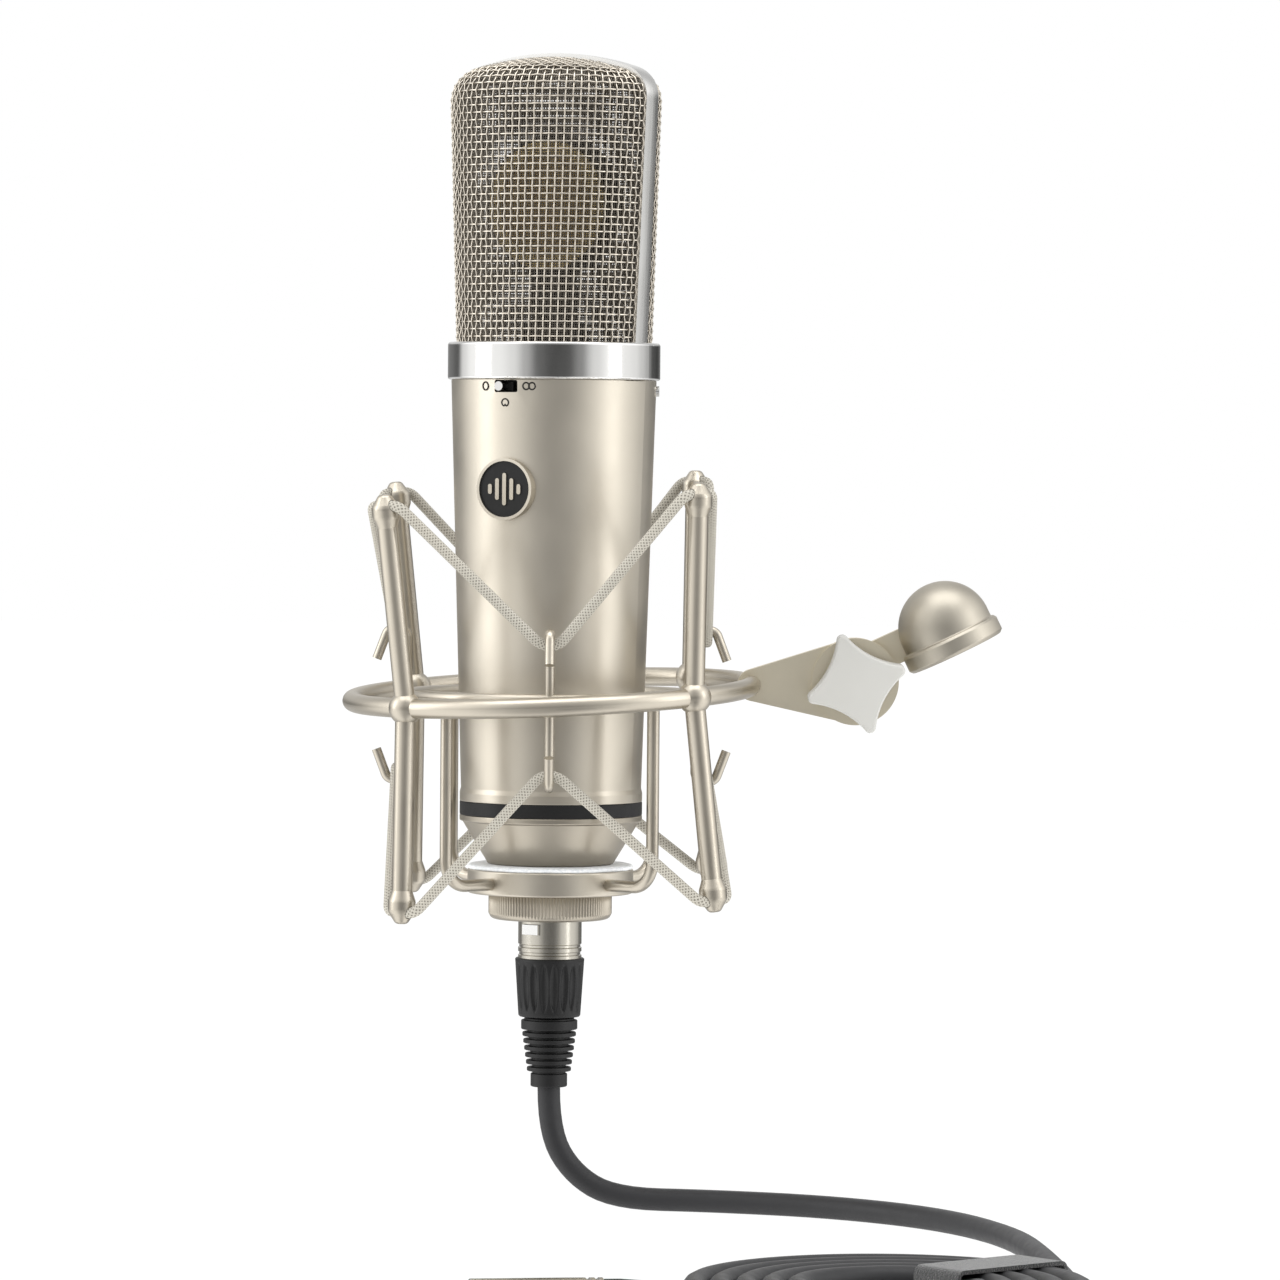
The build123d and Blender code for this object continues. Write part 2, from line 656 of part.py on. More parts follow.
ARM_FRONT, ARM_BACK = PLATE_T / 2 + ARM_BOSS_T, -PLATE_T / 2
with BuildPart() as knuckle_washers:
    add(disc(ARM_FRONT + GAP, ARM_FRONT + GAP + WASHER_T, 7.5, SCREW_SHANK_R).part)
    add(disc(ARM_BACK - GAP - WASHER_T, ARM_BACK - GAP, KNUCKLE_R - 0.6, SCREW_SHANK_R).part)
save(knuckle_washers, "knuckle_washers")

DOME_OUTLINE = [
    (0, DOME_H, 0), (DOME_R, DOME_H, DOME_R - 0.1), (DOME_R, DOME_FLANGE_H, 0.5),
    (DOME_FLANGE_R - 0.6, DOME_FLANGE_H, 0.4), (DOME_FLANGE_R, DOME_FLANGE_H - 0.8, 0.3),
    (DOME_FLANGE_R, 0.8, 0.5), (DOME_FLANGE_R - 0.8, 0, 0.4),
]
INSERT_R = STAND_THREAD_R + 1.6
dome = lathe(DOME, DOME_OUTLINE + [(INSERT_R, 0, 0), (INSERT_R, STAND_THREAD_L, 0), (0, STAND_THREAD_L, 0)])
save(dome, "swivel_dome")
thread_insert = lathe(DOME, [
    (STAND_THREAD_R, 0, 0), (INSERT_R, 0, 0),
    (INSERT_R, STAND_THREAD_L, 0), (STAND_THREAD_R, STAND_THREAD_L, 0),
])
save(thread_insert, "thread_insert")

NECK_BACK = ARM_BACK - 2 * GAP - WASHER_T
NECK_START, NECK_END, NECK_R = (4.0, 5.2), (15.6, 10.0), 4.2     # from the knuckle's disc into the dome
dome_solid = lathe(DOME, DOME_OUTLINE + [(0, 0, 0)])
with BuildPart() as neck:
    with BuildSketch(KNUCKLE.offset(NECK_BACK)):
        with Locations(NECK_START, NECK_END):
            Circle(NECK_R)
        make_hull()
        Circle(KNUCKLE_R - 0.3)
    extrude(amount=-PLATE_T)
    with BuildSketch(KNUCKLE.offset(NECK_BACK + 1)):
        Circle(SCREW_SHANK_R)
    extrude(amount=-2 * PLATE_T, mode=Mode.SUBTRACT)
    add(dome_solid.part, mode=Mode.SUBTRACT)
save(neck, "swivel_neck")

KNOB_BACK, KNOB_HUB_T, KNOB_T = ARM_FRONT + 2 * GAP + WASHER_T, 2.4, 8.0
KNOB_TIP_R, KNOB_WAIST_R, KNOB_TURN = 16.6, 8.3, 15.5
SHANK_END = KNOB_BACK + KNOB_HUB_T + KNOB_T - 3.0
with BuildPart() as clamp_screw:
    with BuildSketch(KNUCKLE.offset(NECK_BACK - PLATE_T)):
        RegularPolygon(5.4, 6)
    extrude(amount=-3.6)
    with BuildSketch(KNUCKLE.offset(NECK_BACK - PLATE_T)):
        Circle(SCREW_SHANK_R)
    extrude(amount=SHANK_END - NECK_BACK + PLATE_T)
save(clamp_screw, "clamp_screw")

with BuildPart() as star_knob:
    with BuildSketch(KNUCKLE.offset(KNOB_BACK)):
        Circle(6.5)
    extrude(amount=KNOB_HUB_T)
    with BuildSketch(KNUCKLE.offset(KNOB_BACK + KNOB_HUB_T)) as star:
        with BuildLine():
            for tip_turn in turns(4, KNOB_TURN):
                tip = Vector(KNOB_TIP_R, 0).rotate(Axis.Z, tip_turn)
                waist = Vector(KNOB_WAIST_R, 0).rotate(Axis.Z, tip_turn + 45)
                following = Vector(KNOB_TIP_R, 0).rotate(Axis.Z, tip_turn + 90)
                ThreePointArc(tip, waist, following)
        make_face()
        fillet(star.vertices(), radius=1.5)
    extrude(amount=KNOB_T)
    fillet(star_knob.faces().sort_by(Axis(KNUCKLE.origin, KNUCKLE.z_dir))[-1].edges(), radius=0.7)
    with BuildSketch(KNUCKLE.offset(KNOB_BACK)):
        Circle(SCREW_SHANK_R + RUN_FIT)
    extrude(amount=SHANK_END - KNOB_BACK + 0.3, mode=Mode.SUBTRACT)
save(star_knob, "star_knob")

# ---------------------------------------------------------------- cable, its plugs and its coil


def plug_shell(frame, radius, top):
    """A plug's metal shell: a tube with two grooves near its boot."""
    corners = [(radius, top, 0.3)]
    for groove in (PLUG_BOTTOM + 3.8, PLUG_BOTTOM + 1.8):
        corners += [(radius, groove, 0), (radius - 0.3, groove - 0.2, 0), (radius - 0.3, groove - 0.8, 0),
                    (radius, groove - 1.0, 0)]
    inner = radius - SHELL_WALL
    corners += [(radius, PLUG_BOTTOM, 0), (inner, PLUG_BOTTOM, 0), (inner, top, 0)]
    return lathe(frame, corners)


def plug_boot(frame):
    """The plug's tapered rubber grip."""
    return lathe(frame, [
        (0, PLUG_BOTTOM, 0), (9.15, PLUG_BOTTOM, 0.6), (9.15, PLUG_BOTTOM - 4.0, 2.0),
        (8.2, BOOT_BOTTOM, 0.6), (0, BOOT_BOTTOM, 0),
    ])


def strain_relief(frame):
    """A ribbed bend relief that tapers down to the cable."""
    rib_top, rib_pitch, rib_count = -100.3, 1.85, 6
    collar_top = BOOT_BOTTOM - 0.4
    corners = [(0, BOOT_BOTTOM, 0), (6.6, BOOT_BOTTOM, 0), (6.6, collar_top, 0),
               (7.45, collar_top, 0.3), (7.45, rib_top, 0.3)]
    for rib in range(rib_count):
        top = rib_top - rib_pitch * rib
        rib_r = 7.1 - 0.25 * rib
        corners += [(rib_r - 1.4, top, 0), (rib_r - 1.4, top - 0.65, 0), (rib_r, top - 0.7, 0.3),
                    (rib_r, top - rib_pitch + 0.05, 0.3)]
    last = rib_top - rib_pitch * rib_count
    corners += [(4.4, last, 0), (4.4, last - 0.5, 0), (4.85, last - 0.6, 0.3), (4.85, RELIEF_BOTTOM, 0.4),
                (0, RELIEF_BOTTOM, 0)]
    return lathe(frame, corners)


SHELL_TOP = -58.5
LATCH_TURN, LATCH_Z, LATCH_W, LATCH_H = -125.0, -73.6, 5.0, 2.6
LATCH = Plane(origin=polar(CRADLE, PLUG_R - 2.0, LATCH_TURN, LATCH_Z),
              x_dir=turned_frame(CRADLE, LATCH_TURN).y_dir, z_dir=turned_frame(CRADLE, LATCH_TURN).x_dir)
shell_blank = plug_shell(MIC, PLUG_R, SHELL_TOP)
with BuildPart() as near_shell:
    add(shell_blank.part)
    with BuildSketch(LATCH):
        Rectangle(LATCH_W + 0.2, LATCH_H + 0.2)
    extrude(amount=4, mode=Mode.SUBTRACT)
save(near_shell, "plug_shell")
with BuildPart() as latch:
    with BuildSketch(LATCH):
        Rectangle(LATCH_W, LATCH_H)
    extrude(amount=2.7)
save(latch, "plug_latch")

with BuildPart() as near_insert:
    with BuildSketch(MIC.offset(SHELL_TOP - 0.2)):
        Circle(PLUG_R - SHELL_WALL)
        with PolarLocations(PIN_CIRCLE, 3, start_angle=PIN_START):
            Circle(PIN_R + 0.1, mode=Mode.SUBTRACT)
    extrude(amount=-11.0)
save(near_insert, "plug_insert")
save(plug_boot(MIC), "plug_boot")
save(strain_relief(MIC), "strain_relief")

CORD_Z = FLOOR_Z + CORD_R
# Route of the cable's middle: down out of the relief, on to the floor, and away in a slow curve.
LEAD_ROUTE = [
    (MIC_X, 0.0, RELIEF_BOTTOM),
    (MIC_X, 0.0, -127.4),
    (MIC_X + 6.4, -0.4, -138.6),
    (MIC_X + 17.6, -1.2, CORD_Z),
    (-64.0, -5.0, CORD_Z),
    (-32.0, -17.0, CORD_Z),
    (-4.0, -43.0, CORD_Z),
    (12.0, -83.0, CORD_Z),
    (17.0, -130.0, CORD_Z),
    (20.0, -186.0, CORD_Z),
    (19.0, COIL_Y, CORD_Z),
]
COIL_BOTTOM = FLOOR_Z + TIE_T
COIL_TOP = COIL_BOTTOM + 2 * CORD_R * COIL_LAYERS
COIL_OUT, COIL_IN = COIL_RADII[-1] + CORD_R, COIL_RADII[0] - CORD_R
FAR_Z = FLOOR_Z + FAR_R
TAIL_ROUTE = [
    (COIL_X, COIL_Y - COIL_RADII[-1], COIL_TOP - CORD_R),
    (COIL_X - 15.0, COIL_Y - COIL_RADII[-1] - 0.6, FAR_Z),
    (COIL_X - 31.0, COIL_Y - COIL_RADII[-1] - 2.8, FAR_Z),
]


def cord_radii(points):
    """Each corner's arc: 0.45 of its shorter run over the tangent of half its turn."""
    radii = []
    for before, corner, after in zip(points, points[1:], points[2:]):
        run_in, run_out = Vector(corner) - Vector(before), Vector(after) - Vector(corner)
        half_turn = radians(run_in.get_angle(run_out)) / 2
        radii.append(0.45 * min(run_in.length, run_out.length) / tan(half_turn))
    return radii


def cord_tube(points, name):
    """A stretch of the cable along its route, with its length printed for checking."""
    radii = cord_radii(points)
    tube = rod(points, radii, CORD_R)
    with BuildLine() as middle:
        FilletPolyline(points, radius=radii)
    length = sum(edge.length for edge in middle.edges())
    print(name, "radii", [round(r, 1) for r in radii], "length", round(length, 1),
          "volume over section x length", round(tube.part.volume / (pi * CORD_R**2 * length), 4))
    return tube, length


coil = lathe(Plane(origin=(COIL_X, COIL_Y, 0)), [
    (COIL_IN, COIL_BOTTOM, 2.0), (COIL_OUT, COIL_BOTTOM, 2.0),
    (COIL_OUT, COIL_TOP, 2.0), (COIL_IN, COIL_TOP, 2.0),
])
save(coil, "cable_coil")
cord_total = sum(2 * pi * r for r in COIL_RADII) * COIL_LAYERS
with BuildPart() as cable_runs:
    for name, route in (("lead", LEAD_ROUTE), ("tail", TAIL_ROUTE)):
        tube, length = cord_tube(route, name)
        cord_total += length
        add(tube.part)
    add(coil.part, mode=Mode.SUBTRACT)
save(cable_runs, "cable_runs")
print("cable length", round(cord_total), "of", CORD_LENGTH)

tail_end = Vector(TAIL_ROUTE[-1])
tail_way = (tail_end - Vector(TAIL_ROUTE[-2])).normalized()
FAR = Plane(tail_end - tail_way * RELIEF_BOTTOM, x_dir=tail_way.cross(Vector(0, 0, 1)), z_dir=tail_way)
FAR_TOP, FAR_FACE = -52.0, -66.0          # the far shell's mouth and its insert's face
save(strain_relief(FAR), "far_strain_relief")
save(plug_boot(FAR), "far_plug_boot")
save(plug_shell(FAR, FAR_R, FAR_TOP), "far_plug_shell")
with BuildPart() as far_insert:
    with BuildSketch(FAR.offset(FAR_FACE)):
        Circle(FAR_R - SHELL_WALL)
    extrude(amount=-6.0)
save(far_insert, "far_plug_insert")
with BuildPart() as far_pins:
    with BuildSketch(FAR.offset(FAR_FACE)):
        with PolarLocations(PIN_CIRCLE, 3, start_angle=PIN_START):
            Circle(PIN_R)
    extrude(amount=10.0)
save(far_pins, "far_plug_pins")

TIE_TURN, TIE_W = 40.0, 15.0
COIL_FRAME = turned_frame(Plane(origin=(COIL_X, COIL_Y, 0)), TIE_TURN)
with BuildPart() as cable_tie:
    with BuildSketch(Plane(origin=COIL_FRAME.origin, x_dir=COIL_FRAME.x_dir, z_dir=-COIL_FRAME.y_dir)):
        with Locations(((COIL_IN + COIL_OUT) / 2 - 1.2, (COIL_BOTTOM + COIL_TOP) / 2)):
            RectangleRounded(COIL_OUT - COIL_IN + 2.5 + 2 * TIE_T, COIL_TOP - COIL_BOTTOM + 2 * TIE_T, 2.0)
            RectangleRounded(COIL_OUT - COIL_IN + 2.5, COIL_TOP - COIL_BOTTOM, 0.8, mode=Mode.SUBTRACT)
    extrude(amount=TIE_W / 2, both=True)
    add(coil.part, mode=Mode.SUBTRACT)
save(cable_tie, "cable_tie")
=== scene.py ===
import math

import bmesh
import bpy
from mathutils import Matrix, Vector


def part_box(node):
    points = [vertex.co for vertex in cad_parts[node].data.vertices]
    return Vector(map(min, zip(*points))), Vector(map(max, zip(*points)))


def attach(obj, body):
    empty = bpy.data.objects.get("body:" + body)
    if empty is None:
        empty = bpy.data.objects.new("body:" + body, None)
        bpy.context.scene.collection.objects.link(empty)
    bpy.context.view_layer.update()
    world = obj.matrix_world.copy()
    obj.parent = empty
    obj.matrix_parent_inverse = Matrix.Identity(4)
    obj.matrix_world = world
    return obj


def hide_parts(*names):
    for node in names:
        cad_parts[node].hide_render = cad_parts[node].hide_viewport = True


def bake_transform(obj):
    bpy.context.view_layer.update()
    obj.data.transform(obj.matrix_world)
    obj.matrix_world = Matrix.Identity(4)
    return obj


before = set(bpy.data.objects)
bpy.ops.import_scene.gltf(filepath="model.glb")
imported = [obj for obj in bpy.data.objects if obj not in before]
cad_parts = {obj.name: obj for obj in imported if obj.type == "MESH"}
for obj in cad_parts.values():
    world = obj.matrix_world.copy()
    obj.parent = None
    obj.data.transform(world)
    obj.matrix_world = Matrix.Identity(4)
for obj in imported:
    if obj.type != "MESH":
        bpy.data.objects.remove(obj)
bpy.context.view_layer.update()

MM = 0.001
TAU = 2 * math.pi

# ------------------------------------------------------------------ places, from the frame


def low(node):
    """Lowest corner of a node's box."""
    return Vector(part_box(node)[0])


def high(node):
    """Highest corner of a node's box."""
    return Vector(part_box(node)[1])


def middle(node):
    """Centre of a node's box."""
    return (low(node) + high(node)) / 2


MIC_X = middle("head_ring").x
MIC_TURN = math.radians(-27)
FLOOR_Z = min(low("cable_runs").z, low("cable_tie").z)
MIC = Matrix.Translation((MIC_X, 0, 0)) @ Matrix.Rotation(MIC_TURN, 4, "Z")
RING_ROLL, RING_PITCH = math.radians(2.6), math.radians(2.1)


def cage_matrix():
    """The cage's own frame: its ring's centre and its tilt."""
    x = Vector((math.cos(RING_ROLL), 0, math.sin(RING_ROLL)))
    z = Vector((-math.sin(RING_ROLL) * math.cos(RING_PITCH), -math.cos(RING_ROLL) * math.sin(RING_PITCH),
                math.cos(RING_ROLL) * math.cos(RING_PITCH))).normalized()
    y = z.cross(x)
    turn = Matrix((x, y, z)).transposed().to_4x4()
    return Matrix.Translation((MIC_X, 0, middle("cage_ring").z)) @ turn


CAGE = cage_matrix()

# ------------------------------------------------------------------ camera

CAMERA_AT = (-0.0837, -1.728, 0.051)
camera_data = bpy.data.cameras.new("camera")
camera_data.lens, camera_data.sensor_width = 184.2, 36.0
camera_data.clip_end = 20
camera = bpy.data.objects.new("camera", camera_data)
bpy.context.collection.objects.link(camera)
camera.matrix_world = (
    Matrix.Translation(CAMERA_AT)
    @ Matrix.Rotation(math.radians(90 - 1.6), 4, "X")
    @ Matrix.Rotation(math.radians(0.45), 4, "Z")
)
bpy.context.scene.camera = camera

# ------------------------------------------------------------------ the cable

CORD_R = 3 * MM
CORD_Z = FLOOR_Z + CORD_R
EXIT = (MIC_X, 0.0, low("strain_relief").z)
COIL_C = middle("cable_coil")
COIL_RADII = (0.021, 0.027, 0.033, 0.039, 0.045)
COIL_BOTTOM = low("cable_coil").z
FAR_Z = FLOOR_Z + 0.0095
LEAD = [
    EXIT,
    (MIC_X, 0.0, -0.1274),
    (MIC_X + 0.0064, -0.0004, -0.1386),
    (MIC_X + 0.0176, -0.0012, CORD_Z),
    (-0.064, -0.005, CORD_Z),
    (-0.032, -0.017, CORD_Z),
    (-0.004, -0.043, CORD_Z),
    (0.012, -0.083, CORD_Z),
    (0.017, -0.130, CORD_Z),
    (0.020, -0.186, CORD_Z),
]
TAIL = [
    (COIL_C.x - 0.015, COIL_C.y - COIL_RADII[-1] - 0.0006, FAR_Z),
    (COIL_C.x - 0.031, COIL_C.y - COIL_RADII[-1] - 0.0028, FAR_Z),
]
COIL_STEPS = 16


def coil_points():
    """Clockwise turns: inward on the surface, then outward on top of them, and a quarter more."""
    radii = list(reversed(COIL_RADII)) + list(COIL_RADII) + [COIL_RADII[-1]]
    points = []
    for turn, radius in enumerate(radii):
        following = radii[min(turn + 1, len(radii) - 1)]
        z = COIL_BOTTOM + (CORD_R if turn < 5 else 3 * CORD_R)
        steps = COIL_STEPS // 4 if turn == len(radii) - 1 else COIL_STEPS
        for step in range(steps):
            share = step / COIL_STEPS
            shift = max(0.0, (share - 0.7) / 0.3)
            rise = 2 * CORD_R * shift if turn == 4 else 0.0
            r = radius + (following - radius) * shift
            a = -TAU * share
            points.append((COIL_C.x + r * math.cos(a), COIL_C.y + r * math.sin(a), z + rise))
    return points


def round_cord(name, points, radius):
    """A round cord along one NURBS spline."""
    data = bpy.data.curves.new(name, "CURVE")
    data.dimensions = "3D"
    spline = data.splines.new("NURBS")
    spline.points.add(len(points) - 1)
    for point, place in zip(spline.points, points):
        point.co = (*place, 1)
    spline.order_u = 3
    spline.use_endpoint_u = True
    spline.resolution_u = 6
    data.bevel_depth = radius
    data.bevel_resolution = 5
    data.use_fill_caps = True
    piece = bpy.data.objects.new(name, data)
    bpy.context.collection.objects.link(piece)
    return piece


cable = round_cord("cable", LEAD + coil_points() + TAIL, CORD_R)

# ------------------------------------------------------------------ materials


class Tree:
    """Short names for building a node tree."""

    def __init__(self, tree):
        self.tree = tree

    def add(self, kind, **values):
        node = self.tree.nodes.new(kind)
        for key, value in values.items():
            if key in node.inputs:
                node.inputs[key].default_value = value
            else:
                setattr(node, key, value)
        return node

    def link(self, source, target):
        self.tree.links.new(source, target)

    def ramp(self, value, *stops, interpolation="LINEAR"):
        """A colour ramp; stops are (place, (r, g, b))."""
        node = self.add("ShaderNodeValToRGB")
        node.color_ramp.interpolation = interpolation
        elements = node.color_ramp.elements
        while len(elements) < len(stops):
            elements.new(0.5)
        for element, (place, colour) in zip(elements, stops):
            element.position = place
            element.color = (*colour, 1)
        self.link(value, node.inputs["Fac"])
        return node.outputs["Color"]

    def span(self, value, low_out, high_out, low_in=0.3, high_in=0.7):
        """Remaps a value."""
        node = self.add("ShaderNodeMapRange")
        ends = {"From Min": low_in, "From Max": high_in, "To Min": low_out, "To Max": high_out}
        for key, number in ends.items():
            node.inputs[key].default_value = number
        self.link(value, node.inputs["Value"])
        return node.outputs["Result"]

    def math(self, operation, a, b=None):
        node = self.add("ShaderNodeMath", operation=operation)
        for slot_in, value in zip(node.inputs, (a, b)):
            if value is None:
                continue
            if isinstance(value, (int, float)):
                slot_in.default_value = value
            else:
                self.link(value, slot_in)
        return node.outputs["Value"]


class Nodes(Tree):
    """A new material with its surface shader."""

    def __init__(self, name):
        self.material = bpy.data.materials.new(name)
        self.material.use_nodes = True
        super().__init__(self.material.node_tree)
        self.shader = self.tree.nodes["Principled BSDF"]

    def set(self, **values):
        """Fixed values of the surface shader's inputs."""
        for key, value in values.items():
            self.shader.inputs[key.replace("_", " ")].default_value = value

    def noise(self, scale, detail, stretch=(1, 1, 1)):
        """Noise in the object's own space; stretch scales its axes first."""
        place = self.add("ShaderNodeTexCoord")
        mapping = self.add("ShaderNodeMapping")
        mapping.inputs["Scale"].default_value = stretch
        self.link(place.outputs["Object"], mapping.inputs["Vector"])
        node = self.add("ShaderNodeTexNoise", Scale=scale, Detail=detail)
        self.link(mapping.outputs["Vector"], node.inputs["Vector"])
        return node.outputs["Fac"]

    def bump(self, height, distance, strength):
        """A relief of the surface; distance is its depth in metres."""
        node = self.add("ShaderNodeBump", Distance=distance, Strength=strength)
        self.link(height, node.inputs["Height"])
        self.link(node.outputs["Normal"], self.shader.inputs["Normal"])

    def to(self, value, name):
        """Feeds one of the surface shader's inputs."""
        self.link(value, self.shader.inputs[name])


def satin_metal(name, colour, rough, grain=0.00002, spread=0.05):
    """Bead-blasted plating: a fine even grain and slightly uneven polish."""
    m = Nodes(name)
    dark = tuple(c * 0.94 for c in colour)
    m.set(Metallic=1.0)
    m.to(m.ramp(m.noise(40, 4), (0.35, dark), (0.65, colour)), "Base Color")
    m.to(m.span(m.noise(90, 3), rough - spread / 2, rough + spread / 2), "Roughness")
    m.bump(m.noise(9000, 2), grain, 0.35)
    return m.material


def polished_metal(name, colour, rough):
    """Polished plating with faint marks from handling."""
    m = Nodes(name)
    m.set(Metallic=1.0)
    m.to(m.ramp(m.noise(30, 5), (0.3, tuple(c * 0.95 for c in colour)), (0.7, colour)), "Base Color")
    m.to(m.span(m.noise(160, 6, (1, 1, 0.15)), rough * 0.8, rough * 1.5), "Roughness")
    return m.material


def plastic(name, colour, rough, grain_scale=6000, grain=0.00002, sheen=0.0):
    """Moulded plastic or rubber with a fine spark-eroded grain."""
    m = Nodes(name)
    m.to(m.ramp(m.noise(25, 4), (0.3, tuple(c * 0.86 for c in colour)), (0.7, colour)), "Base Color")
    m.to(m.span(m.noise(300, 3), rough - 0.05, rough + 0.05), "Roughness")
    m.set(Sheen_Weight=sheen, Specular_IOR_Level=0.3)
    m.bump(m.noise(grain_scale, 2), grain, 0.5)
    return m.material


NICKEL = (0.56, 0.517, 0.442)
MATERIALS = {
    "satin_nickel": satin_metal("satin_nickel", NICKEL, 0.39),
    # A darker copy of the satin nickel for the bell and the nut: painted shade of the low parts.
    "shaded_nickel": satin_metal("shaded_nickel", (0.44, 0.40, 0.335), 0.37),
    # A darker copy of the satin nickel for the rods, hooks, saddles and emblem: painted shade.
    "shaded_rod_nickel": satin_metal("shaded_rod_nickel", (0.50, 0.458, 0.387), 0.35),
    "polished": polished_metal("polished", (0.74, 0.735, 0.725), 0.10),
    "dome_nickel": satin_metal("dome_nickel", (0.45, 0.417, 0.355), 0.46),
    "plate_nickel": satin_metal("plate_nickel", (0.80, 0.735, 0.59), 0.44),
    "wire": satin_metal("wire", (0.60, 0.55, 0.475), 0.26),
    "fine_wire": satin_metal("fine_wire", (0.26, 0.235, 0.20), 0.38),
    "plug_metal": satin_metal("plug_metal", (0.50, 0.475, 0.42), 0.18),
    "brass": satin_metal("brass", (0.72, 0.55, 0.26), 0.28),
    "gold_foil": satin_metal("gold_foil", (0.40, 0.28, 0.12), 0.35),
    "zinc": satin_metal("zinc", (0.55, 0.56, 0.57), 0.38),
    "black_plastic": plastic("black_plastic", (0.007, 0.007, 0.007), 0.5),
    "black_grain": plastic("black_grain", (0.009, 0.009, 0.0095), 0.5, 2600, 0.00012),
    "rubber": plastic("rubber", (0.010, 0.010, 0.0105), 0.45, 4000, 0.00003),
    "jacket": plastic("jacket", (0.022, 0.022, 0.024), 0.5, 5000, 0.00002, 0.05),
    "board": plastic("board", (0.02, 0.13, 0.06), 0.35),
    "electronics": plastic("electronics", (0.09, 0.09, 0.11), 0.4),
    "mark_paint": plastic("mark_paint", (0.016, 0.015, 0.013), 0.6),
    "bow": polished_metal("bow", (0.72, 0.715, 0.70), 0.24),
    "knob": plastic("knob", (0.53, 0.525, 0.50), 0.42, 5000, 0.000015),
}


def felt_material():
    """Pressed wool felt: matted fibres with a soft surface."""
    m = Nodes("felt")
    m.to(m.ramp(m.noise(1400, 6), (0.35, (0.72, 0.75, 0.78)), (0.65, (0.86, 0.875, 0.89))), "Base Color")
    m.set(Roughness=0.95, Sheen_Weight=0.5)
    m.bump(m.noise(2200, 8), 0.0003, 0.8)
    return m.material


def braid_material():
    """A braided sleeve: two families of strands wound crosswise, from the tube's own UVs, with painted shade
    in the gaps and painted highlights on the crests.
    """
    m = Nodes("braid")
    place = m.add("ShaderNodeTexCoord")
    split = m.add("ShaderNodeSeparateXYZ")
    m.link(place.outputs["UV"], split.inputs["Vector"])
    around, along = split.outputs["X"], split.outputs["Y"]
    strands, crossings = 7, 9
    across, down = m.math("MULTIPLY", around, TAU * strands), m.math("MULTIPLY", along, TAU * crossings)
    one, two = m.math("ADD", across, down), m.math("SUBTRACT", across, down)
    weave = m.math("MAXIMUM", m.math("SINE", one), m.math("SINE", two))
    # Painted shade and painted highlight: the colour is darkest in the gaps between strands, mid on their
    # flanks and lightest on the crests.
    shaded_gaps, half_shaded_flanks, lit_crests = (0.17, 0.155, 0.13), (0.39, 0.368, 0.32), (0.49, 0.465, 0.405)
    m.to(m.ramp(m.span(weave, 0.0, 1.0, -0.6, 1.0), (0.0, shaded_gaps), (0.5, half_shaded_flanks), (1.0, lit_crests)), "Base Color")
    m.set(Roughness=0.85)
    m.bump(weave, 0.00008, 0.6)
    return m.material


def tie_material():
    """Hook-and-loop tape: a dense pile of tiny loops."""
    m = Nodes("tie")
    m.to(m.ramp(m.noise(2600, 5), (0.3, (0.004, 0.004, 0.004)), (0.75, (0.03, 0.03, 0.031))), "Base Color")
    m.set(Roughness=0.9, Sheen_Weight=0.6)
    m.bump(m.noise(2600, 5), 0.0004, 1.0)
    return m.material


MATERIALS["felt"] = felt_material()
MATERIALS["braid"] = braid_material()
MATERIALS["tie"] = tie_material()


def paint(piece, material):
    """Gives a piece or a CAD node one material."""
    piece.data.materials.clear()
    piece.data.materials.append(MATERIALS[material])
    if piece.type == "MESH":
        for face in piece.data.polygons:
            face.material_index = 0
    return piece


CAD_LOOKS = {
    "satin_nickel": ["body_tube", "badge_rim", "cradle_flange"],
    "shaded_nickel": ["base_bell"],
    "dome_nickel": ["swivel_dome"],
    "plate_nickel": ["swivel_neck", "arm_plate"],
    "shaded_rod_nickel": ["cradle_ring", "cradle_legs", "elastic_hooks", "cage_ring", "cage_posts",
                   "elastic_saddles", "badge_emblem"],
    "bow": ["head_bow"],
    "polished": ["head_ring", "ring_screws", "clamp_screw", "knuckle_washers", "plug_latch",
                 "pattern_switch_slider", "pad_switch_slider", "lowcut_switch_slider"],
    "plug_metal": ["plug_shell", "far_plug_shell"],
    "brass": ["capsule_backplate", "capsule_clamp_rings", "capsule_screws", "output_pins", "far_plug_pins"],
    "gold_foil": ["capsule_diaphragms"],
    "zinc": ["chassis_rails", "thread_insert"],
    "black_plastic": ["switch_bodies", "head_deck", "capsule_mount", "output_insert", "plug_insert",
                      "far_plug_insert", "chassis_floor", "badge_face"],
    "black_grain": ["base_trim"],
    "board": ["circuit_board"],
    "electronics": ["board_components", "output_transformer"],
    "knob": ["star_knob"],
}
for look, names in CAD_LOOKS.items():
    for name in names:
        paint(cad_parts[name], look)


LEVER_FOOT_R = 24.6 * MM       # inside this radius a slider is the plate behind its window


def bright_levers():
    """The switch sliders' levers are plated; their plates behind the windows are painted black, as shade in
    the slots' depth.
    """
    for name in ("pattern_switch_slider", "pad_switch_slider", "lowcut_switch_slider"):
        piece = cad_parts[name]
        piece.data.materials.append(MATERIALS["black_plastic"])
        for face in piece.data.polygons:
            centre = piece.matrix_world @ face.center
            if math.hypot(centre.x - MIC_X, centre.y) < LEVER_FOOT_R:
                # Painted shade: the plate behind the window takes black plastic.
                face.material_index = 1


bright_levers()

# ------------------------------------------------------------------ mesh helpers


